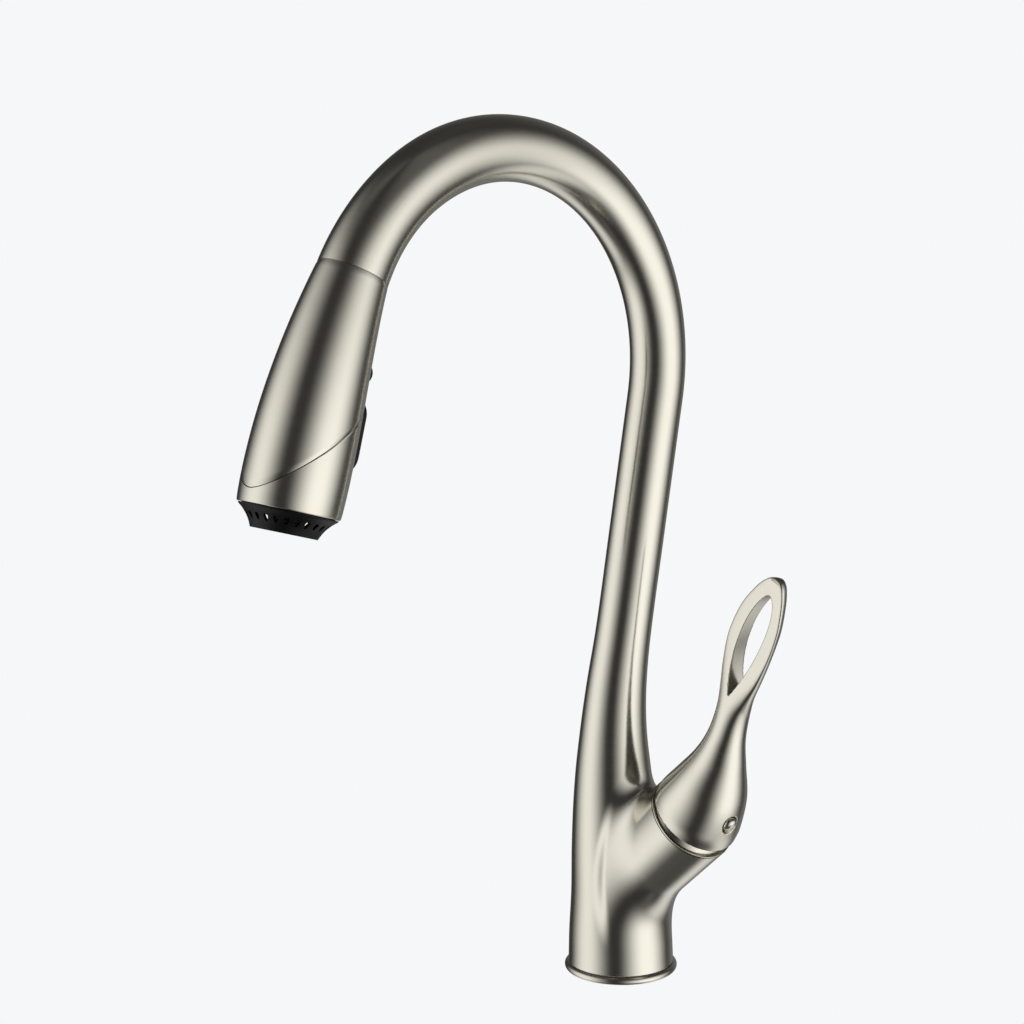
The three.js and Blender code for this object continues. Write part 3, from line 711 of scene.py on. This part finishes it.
VENTS = 24
VENT_RADIUS = 16.5
VENT_DROP = 4.2  # below the rim
VENT_TILT = 42
mouth_third = np.cross(mouth_up, mouth_side)
verts, faces = [], []
for i in range(VENTS):
    a = 2 * math.pi * (i + 0.5) / VENTS
    out = mouth_side * math.cos(a) + mouth_third * math.sin(a)
    tangent = np.cross(mouth_up, out)
    outline = teardrop(1.9, 1.4)
    n = len(outline)
    facing = out * cos(VENT_TILT) - mouth_up * sin(VENT_TILT)
    along = out * sin(VENT_TILT) + mouth_up * cos(VENT_TILT)
    middle = mouth_point + VENT_RADIUS * out - VENT_DROP * mouth_up
    faces += capped_faces(2, n, len(verts))
    for off in (-3, 3):
        verts += list(place(np.column_stack([outline, np.full(n, off)]), middle, tangent, along, facing))
vents = mesh_object("vents", np.array(verts), faces)
outward(vents)
cut(skirt, vents)
p = coords(skirt) - mouth_point
brush(skirt, np.column_stack([p @ mouth_side, p @ mouth_third]), p @ mouth_up)
smooth(skirt, 35)

# ------------------------------------------------------------ lever
# middle x and z, turn of the section about Y, half width, front depth, back depth, squareness of the front
lever_sections = [
    (49.2, 87.1, 49.5, 21.5, 21.5, 21.5, 2),
    (52.6, 92.2, 53, 20.8, 20.8, 20.8, 2),
    (59.2, 103.4, 60, 17.4, 17.4, 17.4, 2),
    (64.3, 116, 68, 12.4, 12.2, 12.2, 2),
    (67.9, 127, 72, 9.1, 9, 9, 2),
    (71.4, 138, 72.5, 8, 7.4, 7.6, 2.1),
    (74.6, 148.5, 71, 8.9, 5.6, 6.4, 2.6),
    (78.8, 160, 69, 11.3, 4.4, 5.4, 4),
    (84, 172.8, 67, 12.9, 4, 4.6, 7),
    (90.2, 185.6, 64, 12.1, 4, 4.2, 7),
    (95.8, 196, 61.5, 8.8, 4, 3.4, 6),
    (99, 201.6, 60, 5.6, 3.9, 2.4, 5),
    (100.3, 203.8, 60, 3, 3.4, 1.2, 4),
    (100.7, 204.5, 60, 0.6, 2.4, 0.2, 3),
]
RIM = 1.2  # thickness of the loop's outer edge ahead of its rounded back
LOOP_START = 0.42  # share of the lever's length where its section starts to change to the loop's
LOOP_CHANGE = 0.2
LOOP_LEAN = 66
BORE_RADIUS = 24.2  # hollow ball under the hub, over the bonnet
SCREW_HEIGHT = 19.5
SCREW_SWING = 4
RECESS_RADIUS = 4.1
LEVER_VOXEL = 0.32


def make_lever():
    knots = [(i, *section) for i, section in enumerate(lever_sections)]
    rows = hermite(np.linspace(0, len(knots) - 1, 150), knots)
    a = np.linspace(0, 2 * math.pi, 128, endpoint=False)
    ca, sa = np.cos(a), np.sin(a)
    grid = []
    for share, (x, z, turn, half, front, back, flat) in zip(np.linspace(0, 1, len(rows)), rows):
        power = np.where(sa < 0, 2 / flat, 1)
        # toward the loop the widest line of the section moves forward, to just behind the front face
        split = (front - RIM) * np.clip((share - LOOP_START) / LOOP_CHANGE, 0, 1)
        c = np.sign(ca) * np.abs(ca) ** power
        s = np.sign(sa) * np.abs(sa) ** power
        y = np.where(sa < 0, (front - split) * s, (back + split) * s) - split
        grid.append(np.column_stack([x + half * c * sin(turn), y, z - half * c * cos(turn)]))
    ob = rings("lever_skin", np.array(grid))
    loop = np.vstack(
        [
            bezier((165, 7.2), (178, -1.5), (205, -2.5), (218.1, 6.3), 40)[:-1],
            bezier((218.1, 6.3), (219.3, 7), (219.3, 8.6), (218.3, 9.4), 10)[:-1],
            bezier((218.3, 9.4), (212, 16), (186, 13.5), (165, 7.2), 40)[:-1],
        ]
    )
    up = np.array([cos(LOOP_LEAN), 0, sin(LOOP_LEAN)])
    side = np.array([sin(LOOP_LEAN), 0, -cos(LOOP_LEAN)])
    hole = prism("hole", loop[:, ::-1], -20, 20, ORIGIN, side, up, Y)
    ball = [(BORE_RADIUS * sin(a), -PIVOT_DEPTH + BORE_RADIUS * cos(a)) for a in np.linspace(88, 0.01, 50)]
    bore = lathe("bore", [(0.01, -8)] + ball, seam, h, e2, 128)
    out = e2 * cos(SCREW_SWING) - Y * sin(SCREW_SWING)
    screw_point = seam + SCREW_HEIGHT * h
    recess = lathe("recess", band(0.01, RECESS_RADIUS, 12.5, 30), screw_point, out, h, 48)
    cut(ob, hole, bore, recess)
    remesh(ob, LEVER_VOXEL, 4)
    p = coords(ob)
    brush(ob, np.column_stack([p @ side, p[:, 1]]), p @ up)
    smooth(ob)
    dome = [(3.6 * cos(a), 15.3 + 2.2 * sin(a)) for a in np.linspace(0, 89.9, 16)]
    cap_profile = [(0.01, 12.9), (3.5, 12.9), (3.6, 13.1)] + dome
    return ob, lathe("screw_cap_skin", cap_profile, screw_point, out, h, 48)


lever, screw_cap = make_lever()


# ------------------------------------------------------------ hose
TAIL_START = -33  # along the dock axis, as TAIL_END is
TAIL_END = -24.3


def hose_points():
    """The hose's middle line, from the base up inside the neck to where the tail starts."""
    foot = [(-11, 0, 3.8), (-11, 0, 20), (-10, 0, 50), (-7, -2, 80), (-2, -5, 108)]
    s = np.linspace(125, DOCK_S - 36, 60)
    c, _, _ = spine.at(s)
    line = np.column_stack([np.zeros(len(s)), c])
    pts = np.vstack([foot, line, dock_point + TAIL_START * dock_axis])
    d = np.r_[0, np.cumsum(np.linalg.norm(np.diff(pts, axis=0), axis=1))]
    return hermite(np.linspace(0, d[-1], 420), [(a, *p) for a, p in zip(d, pts)])


def tube(name, centre, radius, around=40):
    t = np.gradient(centre, axis=0)
    t /= np.linalg.norm(t, axis=1)[:, None]
    side = np.tile(X, (len(t), 1))
    side = side - (side * t).sum(1)[:, None] * t
    side /= np.linalg.norm(side, axis=1)[:, None]
    other = np.cross(t, side)
    a = np.linspace(0, 2 * math.pi, around, endpoint=False)
    grid = centre[:, None] + radius * (
        np.cos(a)[None, :, None] * side[:, None] + np.sin(a)[None, :, None] * other[:, None]
    )
    ob = rings(name, grid)
    d = np.r_[0, np.cumsum(np.linalg.norm(np.diff(centre, axis=0), axis=1))]
    turn = np.tile(a, len(centre))
    brush(ob, np.column_stack([np.cos(turn) * radius, np.sin(turn) * radius]), np.repeat(d, around))
    smooth(ob, 50)
    return ob


hose_main = tube("hose_main", hose_points(), HOSE_RADIUS)
hose_tail = tube(
    "hose_tail",
    np.array([dock_point + u * dock_axis for u in np.linspace(TAIL_START, TAIL_END, 120)]),
    HOSE_RADIUS - 0.02,
)


# ------------------------------------------------------------ materials
BUMP_DEPTH = 0.0001  # metres
BRUSHED = (0.06, 0.06, 2.2)  # draws the noise out into lines round the body


def shader(name, color, metallic, roughness, spread, scale, bump, tint, stretch=None, shine=0.5):
    """Principled material with procedural unevenness. stretch draws it out into brushed lines."""
    mat = bpy.data.materials.new(name)
    mat.use_nodes = True
    nodes, links = mat.node_tree.nodes, mat.node_tree.links
    bsdf = nodes["Principled BSDF"]
    bsdf.inputs["Metallic"].default_value = metallic
    bsdf.inputs["Specular IOR Level"].default_value = shine
    if stretch:
        source = nodes.new("ShaderNodeAttribute")
        source.attribute_name = "brush"
        out = source.outputs["Vector"]
        scaled = nodes.new("ShaderNodeVectorMath")
        scaled.operation = "MULTIPLY"
        scaled.inputs[1].default_value = stretch
        links.new(out, scaled.inputs[0])
        out = scaled.outputs["Vector"]
    else:
        source = nodes.new("ShaderNodeTexCoord")
        out = source.outputs["Object"]
    noise = nodes.new("ShaderNodeTexNoise")
    noise.inputs["Scale"].default_value = scale
    noise.inputs["Detail"].default_value = 4.0
    links.new(out, noise.inputs["Vector"])
    rough = nodes.new("ShaderNodeMapRange")
    rough.inputs["To Min"].default_value = roughness - spread
    rough.inputs["To Max"].default_value = roughness + spread
    links.new(noise.outputs["Fac"], rough.inputs["Value"])
    links.new(rough.outputs["Result"], bsdf.inputs["Roughness"])
    mix = nodes.new("ShaderNodeMix")
    mix.data_type = "RGBA"
    mix.inputs["A"].default_value = (*[c * (1 - tint) for c in color], 1)
    mix.inputs["B"].default_value = (*[min(1, c * (1 + tint)) for c in color], 1)
    links.new(noise.outputs["Fac"], mix.inputs["Factor"])
    links.new(mix.outputs["Result"], bsdf.inputs["Base Color"])
    if bump:
        b = nodes.new("ShaderNodeBump")
        b.inputs["Strength"].default_value = bump
        b.inputs["Distance"].default_value = BUMP_DEPTH
        links.new(noise.outputs["Fac"], b.inputs["Height"])
        links.new(b.outputs["Normal"], bsdf.inputs["Normal"])
    return mat


MATERIALS = [  # name, colour, metallic, roughness, its spread, noise scale, bump, tint
    ("brushed_nickel", (0.69, 0.665, 0.585), 1, 0.19, 0.05, 1.0, 0.14, 0.04, BRUSHED),
    ("brass", (0.48, 0.29, 0.08), 1, 0.36, 0.06, 300, 0.1, 0.08),
    ("steel", (0.42, 0.43, 0.44), 1, 0.34, 0.06, 300, 0.1, 0.05),
    ("copper", (0.47, 0.17, 0.07), 1, 0.36, 0.06, 250, 0.1, 0.1),
    ("black_plastic", (0.006, 0.006, 0.007), 0, 0.42, 0.08, 500, 0.2, 0.2, None, 0.22),
    ("grey_plastic", (0.13, 0.13, 0.135), 0, 0.48, 0.08, 500, 0.2, 0.1),
    ("white_plastic", (0.74, 0.74, 0.71), 0, 0.45, 0.06, 500, 0.15, 0.03),
    ("rubber", (0.014, 0.014, 0.014), 0, 0.75, 0.08, 700, 0.3, 0.2),
    ("ceramic", (0.86, 0.84, 0.79), 0, 0.2, 0.04, 300, 0.05, 0.02),
]
finishes = {row[0]: shader(*row) for row in MATERIALS}
STRANDS = 12  # of the hose's braid, round it each way
STRAND_PITCH = 2.2  # radians of the weave for each millimetre along the hose


def braid():
    """Woven sleeve: two families of slanted strands over a grey core."""
    mat = bpy.data.materials.new("hose_braid")
    mat.use_nodes = True
    nodes, links = mat.node_tree.nodes, mat.node_tree.links
    bsdf = nodes["Principled BSDF"]
    bsdf.inputs["Metallic"].default_value = 0.0
    bsdf.inputs["Roughness"].default_value = 0.45
    source = nodes.new("ShaderNodeAttribute")
    source.attribute_name = "brush"
    split = nodes.new("ShaderNodeSeparateXYZ")
    links.new(source.outputs["Vector"], split.inputs["Vector"])
    angle = nodes.new("ShaderNodeMath")
    angle.operation = "ARCTAN2"
    links.new(split.outputs["Y"], angle.inputs[0])
    links.new(split.outputs["X"], angle.inputs[1])
    waves = []
    for sign in (1, -1):
        turn = nodes.new("ShaderNodeMath")
        turn.operation = "MULTIPLY"
        turn.inputs[1].default_value = STRANDS * sign
        links.new(angle.outputs["Value"], turn.inputs[0])
        add = nodes.new("ShaderNodeMath")
        add.operation = "MULTIPLY_ADD"
        add.inputs[1].default_value = STRAND_PITCH
        links.new(split.outputs["Z"], add.inputs[0])
        links.new(turn.outputs["Value"], add.inputs[2])
        wave = nodes.new("ShaderNodeMath")
        wave.operation = "SINE"
        links.new(add.outputs["Value"], wave.inputs[0])
        waves.append(wave)
    top = nodes.new("ShaderNodeMath")
    top.operation = "MAXIMUM"
    links.new(waves[0].outputs["Value"], top.inputs[0])
    links.new(waves[1].outputs["Value"], top.inputs[1])
    level = nodes.new("ShaderNodeMapRange")
    level.inputs["From Min"].default_value = -1
    level.inputs["From Max"].default_value = 1
    links.new(top.outputs["Value"], level.inputs["Value"])
    mix = nodes.new("ShaderNodeMix")
    mix.data_type = "RGBA"
    mix.inputs["A"].default_value = (0.03, 0.03, 0.032, 1)
    mix.inputs["B"].default_value = (0.2, 0.2, 0.205, 1)
    links.new(level.outputs["Result"], mix.inputs["Factor"])
    links.new(mix.outputs["Result"], bsdf.inputs["Base Color"])
    b = nodes.new("ShaderNodeBump")
    b.inputs["Strength"].default_value = 0.5
    b.inputs["Distance"].default_value = 0.0004
    links.new(level.outputs["Result"], b.inputs["Height"])
    links.new(b.outputs["Normal"], bsdf.inputs["Normal"])
    return mat


finishes["hose_braid"] = braid()


def dress(ob, slot_name):
    ob.data.materials.clear()
    ob.data.materials.append(finishes[slot_name])


slot_of = {part["node"]: part["material_slot"] for part in frame["record"]["subparts"]}
for node, slot_name in slot_of.items():
    dress(frame["nodes"][node], slot_name)

# ------------------------------------------------------------ what rides on what
dressed = [
    (body_skin, "body", "faucet_body"),
    (flange, "base", "base_flange"),
    (ring, "body", "branch_trim_ring"),
    (bonnet, "body", "bonnet"),
    (collar, "body", "dock_collar"),
    (upper, "spray_head", "wand_upper_shell"),
    (lower, "spray_head", "wand_lower_shell"),
    (skirt, "spray_head", "nozzle_skirt"),
    (rocker, "rocker", "mode_rocker"),
    (button, "boost_button", "spray_button"),
    (lever, "lever", "handle_lever"),
    (screw_cap, "lever", "set_screw_cap"),
    (hose_main, "body", "spray_hose"),
]
for ob, body, node in dressed:
    dress(ob, slot_of[node])
    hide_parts(node)
    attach(ob, body)
# the tail rides on no body: it is baked into world coordinates
dress(hose_tail, "hose_braid")
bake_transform(hose_tail)

# ------------------------------------------------------------ floor, light and camera
FLOOR_COLOR = (0.94, 0.945, 0.955, 1)
FLOOR_GLOW = 0.985
FLOOR_REACH = 40  # metres
FLOOR_DROP = 0.0002  # metres below the base
corners = [(FLOOR_REACH * x, FLOOR_REACH * y, -FLOOR_DROP) for x, y in ((-1, -1), (1, -1), (1, 1), (-1, 1))]
floor_mesh = bpy.data.meshes.new("floor")
floor_mesh.from_pydata(corners, [], [(0, 1, 2, 3)])
floor = link(floor_mesh, "floor")
floor_mat = bpy.data.materials.new("floor")
floor_mat.use_nodes = True
nt = floor_mat.node_tree
nt.nodes.remove(nt.nodes["Principled BSDF"])
glow = nt.nodes.new("ShaderNodeEmission")
glow.inputs["Color"].default_value = FLOOR_COLOR
glow.inputs["Strength"].default_value = FLOOR_GLOW
nt.links.new(glow.outputs["Emission"], nt.nodes["Material Output"].inputs["Surface"])
floor.data.materials.append(floor_mat)
floor.visible_glossy = False
floor.visible_diffuse = False

scene = bpy.context.scene
camera_data = bpy.data.cameras.new("camera")
camera_data.lens = 85
camera_data.sensor_width = 36
camera_data.clip_start = 0.05
camera_data.clip_end = 200
camera = bpy.data.objects.new("camera", camera_data)
scene.collection.objects.link(camera)
camera_right = Vector((0.67044, 0.74194, -0.00615))
camera_up = Vector((-0.11705, 0.11394, 0.98657))
camera_back = Vector((0.73268, -0.66071, 0.16323))
camera_place = (0.79465, -0.78548, 0.40747)
camera_turn = Matrix((camera_right, camera_up, camera_back)).transposed().to_4x4()
camera.matrix_world = Matrix.Translation(camera_place) @ camera_turn
scene.camera = camera
scene.view_settings.view_transform = "Standard"

world = bpy.data.worlds.new("studio")
scene.world = world
world.use_nodes = True
wn, wl = world.node_tree.nodes, world.node_tree.links
wn.clear()


def math_node(op, *inputs, clamp=False):
    n = wn.new("ShaderNodeMath")
    n.operation = op
    n.use_clamp = clamp
    for i, v in enumerate(inputs):
        if hasattr(v, "is_output"):
            wl.new(v, n.inputs[i])
        else:
            n.inputs[i].default_value = v
    return n.outputs["Value"]


def ramp(value, a, b, low=0.0, high=1.0):
    """Smooth step from low at a to high at b."""
    n = wn.new("ShaderNodeMapRange")
    n.interpolation_type = "SMOOTHSTEP"
    n.inputs["From Min"].default_value = a
    n.inputs["From Max"].default_value = b
    n.inputs["To Min"].default_value = low
    n.inputs["To Max"].default_value = high
    wl.new(value, n.inputs["Value"])
    return n.outputs["Result"]


# directions of the surround: azimuth is 0 on the front's side and grows toward the right
direction = wn.new("ShaderNodeTexCoord")
parts = wn.new("ShaderNodeSeparateXYZ")
wl.new(direction.outputs["Generated"], parts.inputs["Vector"])
front = Vector((0.742, -0.670))
right = Vector((0.670, 0.742))
DEGREES = 180 / math.pi


def dot2(v):
    a = math_node("MULTIPLY", parts.outputs["X"], v[0])
    return math_node("MULTIPLY_ADD", parts.outputs["Y"], v[1], a)


azimuth = math_node("MULTIPLY", math_node("ARCTAN2", dot2(right), dot2(front)), DEGREES)
elevation = math_node("MULTIPLY", math_node("ARCSINE", parts.outputs["Z"]), DEGREES)


def off_azimuth(centre):
    return math_node("ABSOLUTE", math_node("WRAP", math_node("SUBTRACT", azimuth, centre), 180.0, -180.0))


def softbox(centre, inner, outer, strength, top=-5, fade=52):
    """A tall soft light, full within inner degrees of its azimuth and gone at outer."""
    level = ramp(off_azimuth(centre), inner, outer, strength, 0.0)
    level = math_node("MULTIPLY", level, ramp(elevation, top, fade, 1.0, 0.06))
    return math_node("MULTIPLY", level, ramp(elevation, -68, -30, 0.06, 1.0))


AMBIENT = 0.04
left_box = softbox(centre=-83, inner=4, outer=62, strength=1.1, top=14, fade=62)
right_box = softbox(centre=57, inner=6, outer=66, strength=1.36)
rear_glow = softbox(centre=160, inner=8, outer=50, strength=0.16)
# light off the floor, weaker in front of the object and straight below it
floor_light = math_node("MULTIPLY", ramp(elevation, -50, -28, 0.8, 0.0), ramp(off_azimuth(-13.0), 30, 110))
floor_light = math_node("MULTIPLY", floor_light, ramp(elevation, -74, -54, 0.05, 1.0))
total = math_node("ADD", math_node("ADD", left_box, right_box), rear_glow)
total = math_node("MAXIMUM", total, floor_light)
total = math_node("ADD", total, AMBIENT)
tint = wn.new("ShaderNodeCombineColor")
for i, k in enumerate((1.0, 0.995, 0.985)):
    wl.new(math_node("MULTIPLY", total, k), tint.inputs[i])
path = wn.new("ShaderNodeLightPath")
studio = wn.new("ShaderNodeBackground")
wl.new(tint.outputs["Color"], studio.inputs["Color"])
backdrop = wn.new("ShaderNodeBackground")
backdrop.inputs["Color"].default_value = FLOOR_COLOR
backdrop.inputs["Strength"].default_value = FLOOR_GLOW
choose = wn.new("ShaderNodeMixShader")
wl.new(path.outputs["Is Camera Ray"], choose.inputs[0])
wl.new(studio.outputs["Background"], choose.inputs[1])
wl.new(backdrop.outputs["Background"], choose.inputs[2])
final = wn.new("ShaderNodeOutputWorld")
wl.new(choose.outputs["Shader"], final.inputs["Surface"])
